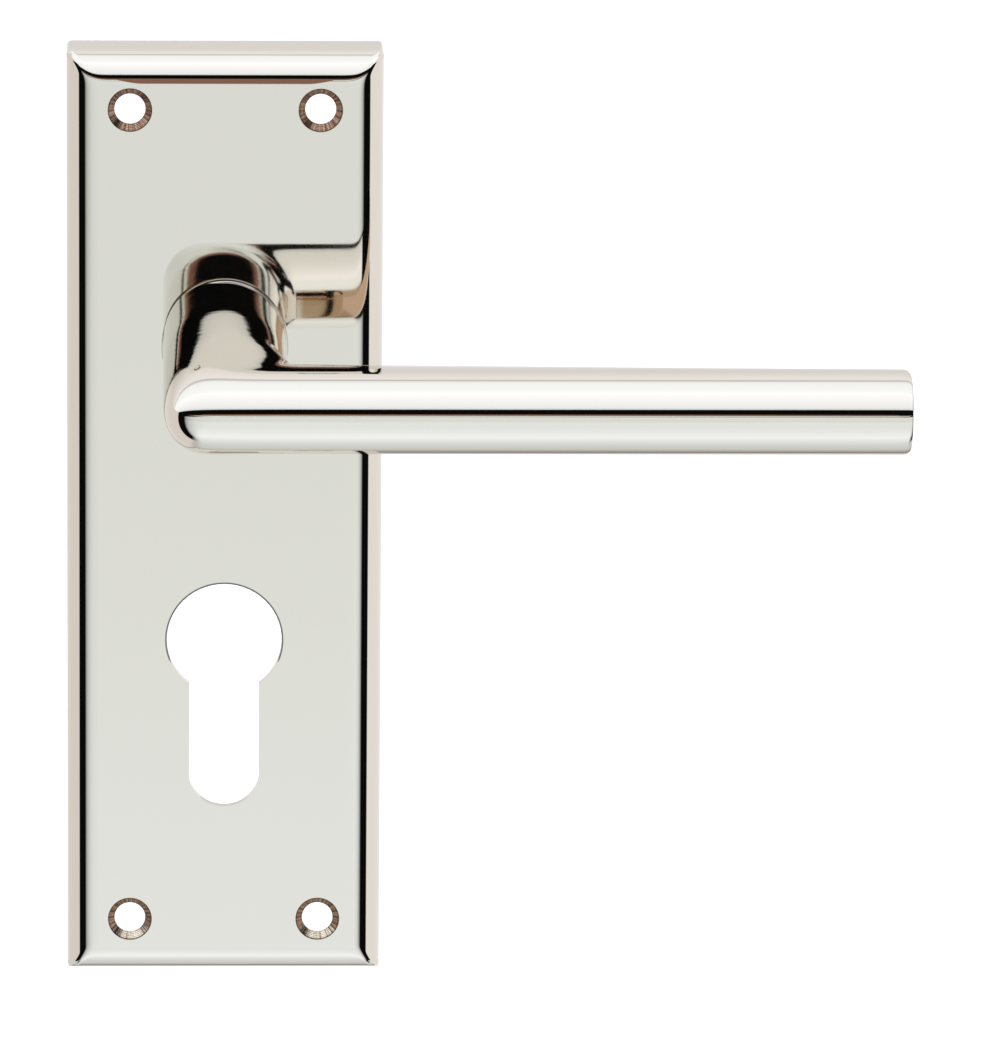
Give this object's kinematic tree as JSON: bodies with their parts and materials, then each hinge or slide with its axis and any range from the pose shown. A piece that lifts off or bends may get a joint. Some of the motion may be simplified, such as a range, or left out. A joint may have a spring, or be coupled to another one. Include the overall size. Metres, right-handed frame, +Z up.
{
  "type": "sprung lever door handle on euro profile backplate",
  "caption": "Polished nickel lever door handle on an upright backplate with a euro cylinder cut-out, sprung so that the straight oval bar returns to level.",
  "frame": {"origin": "spindle axis in the plane of the backplate's back, where the door face is", "axes": "+Z up along the backplate, -Y out of the door towards the user, +X along the lever from its neck to its free end, +Y along the spindle into the door"},
  "size_m": [0.1305, 0.138, 0.15],
  "materials": {
    "nickel_brass": "polished",
    "zinc_alloy": "satin",
    "zinc_plated_steel": "satin",
    "spring_steel": "satin",
    "black_steel": "satin",
    "acetal": "satin",
    "polyurethane": "matte"
  },
  "bodies": {
    "plate": {"backplate": "nickel_brass", "neck_bush": "acetal", "rear_bush": "acetal", "thrust_washer": "zinc_plated_steel", "return_spring": "spring_steel", "rest_buffer": "polyurethane", "travel_buffer": "polyurethane", "cover_plate": "zinc_plated_steel", "cover_screws": "zinc_plated_steel"},
    "lever": {"lever": "nickel_brass", "grub_screw": "black_steel", "spindle": "zinc_plated_steel", "drive_cam": "zinc_alloy", "wave_washer": "spring_steel", "circlip": "spring_steel"}
  },
  "joints": [
    {"name": "lever_turn", "type": "hinge", "parent": "plate", "child": "lever", "pos_m": [0, 0, 0], "axis": [0, 1, 0], "range_deg": [0, 45], "stiffness_Nm_per_rad": 0.17, "springref_deg": -45.84, "deforming": ["return_spring"]}
  ]
}
